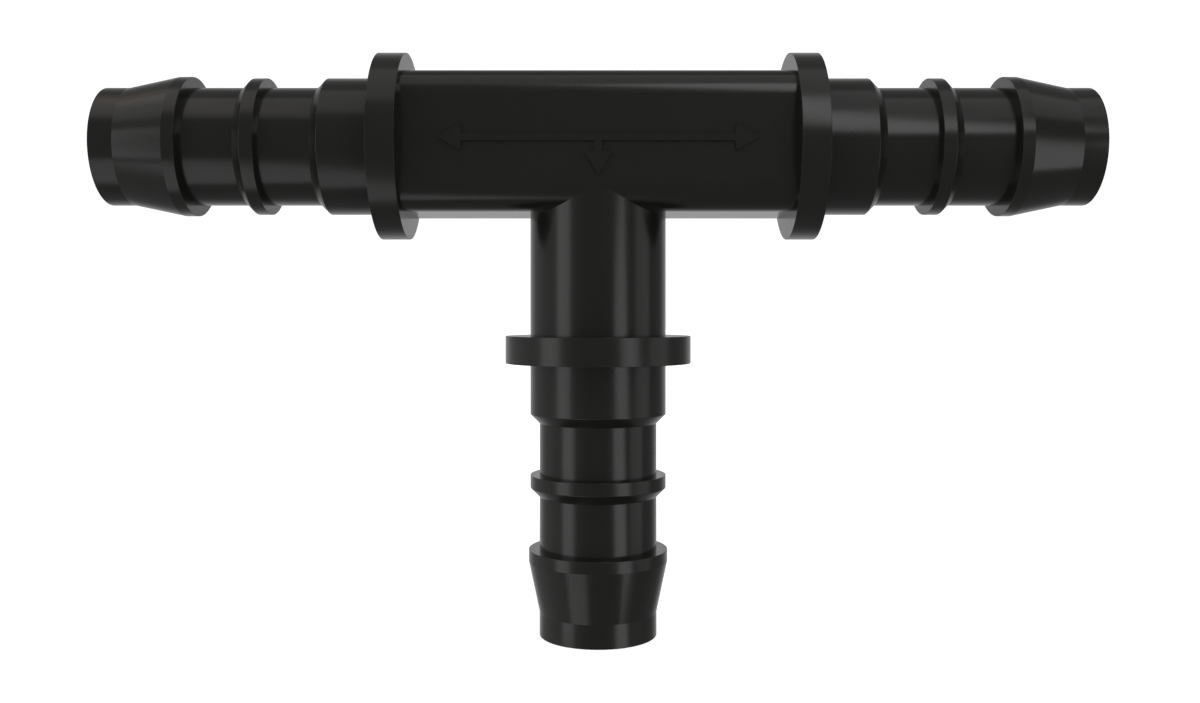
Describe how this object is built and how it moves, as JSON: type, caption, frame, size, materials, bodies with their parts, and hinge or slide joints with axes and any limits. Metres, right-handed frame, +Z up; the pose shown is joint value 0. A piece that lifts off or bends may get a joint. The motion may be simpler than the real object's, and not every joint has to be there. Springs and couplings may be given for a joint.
{
  "type": "barbed tee connector",
  "caption": "Barbed tee connector for 6 mm soft hose: rounded-square run block, round branch neck, hose-stop collars and stepped, ringed and barbed hose tails.",
  "frame": {"origin": "centre of the branch's end face, on the branch's axis; the run's axis is 25 mm above it", "axes": "+X along the run towards the right arm, -Y out of the front flat of the block, +Z up, from the branch's end towards the run"},
  "size_m": [0.05, 0.0094, 0.0298],
  "materials": {
    "black_plastic": "near-black injection-moulded plastic with a soft gloss"
  },
  "bodies": {
    "root": {"tee_body": "black_plastic", "left_collar": "black_plastic", "right_collar": "black_plastic", "branch_collar": "black_plastic", "left_hose_tail": "black_plastic", "right_hose_tail": "black_plastic", "branch_hose_tail": "black_plastic"}
  },
  "joints": []
}
